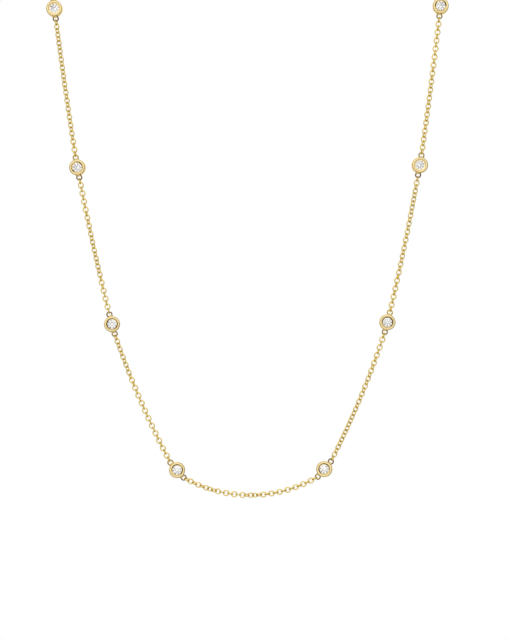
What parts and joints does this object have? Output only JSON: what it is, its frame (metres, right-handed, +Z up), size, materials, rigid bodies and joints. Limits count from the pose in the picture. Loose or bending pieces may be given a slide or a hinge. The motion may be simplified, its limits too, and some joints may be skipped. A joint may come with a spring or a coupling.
{
  "type": "station necklace",
  "caption": "Fine cable chain necklace in its worn form, with small round stones in evenly spaced round bezels and a spring ring clasp.",
  "frame": {"origin": "at the nape: the point of the wearer's neck that the clasp bears on", "axes": "+X across the neck, to the right as the picture shows it; +Y towards the back; +Z up"},
  "size_m": [0.0955, 0.0542, 0.1586],
  "materials": {
    "gold": "polished yellow gold",
    "diamond": "faceted clear stone"
  },
  "bodies": {
    "root": {"bezel_01": "gold", "bezel_02": "gold", "bezel_03": "gold", "bezel_04": "gold", "bezel_05": "gold", "bezel_06": "gold", "bezel_07": "gold", "bezel_08": "gold", "bezel_09": "gold", "bezel_10": "gold", "bezel_11": "gold", "bezel_12": "gold", "chain_01": "gold", "chain_02": "gold", "chain_03": "gold", "chain_04": "gold", "chain_05": "gold", "chain_06": "gold", "chain_07": "gold", "chain_08": "gold", "chain_09": "gold", "chain_10": "gold", "chain_11": "gold", "chain_12": "gold", "chain_13": "gold", "clasp": "gold", "end_ring": "gold", "diamond_01": "diamond", "diamond_02": "diamond", "diamond_03": "diamond", "diamond_04": "diamond", "diamond_05": "diamond", "diamond_06": "diamond", "diamond_07": "diamond", "diamond_08": "diamond", "diamond_09": "diamond", "diamond_10": "diamond", "diamond_11": "diamond", "diamond_12": "diamond"}
  },
  "joints": []
}
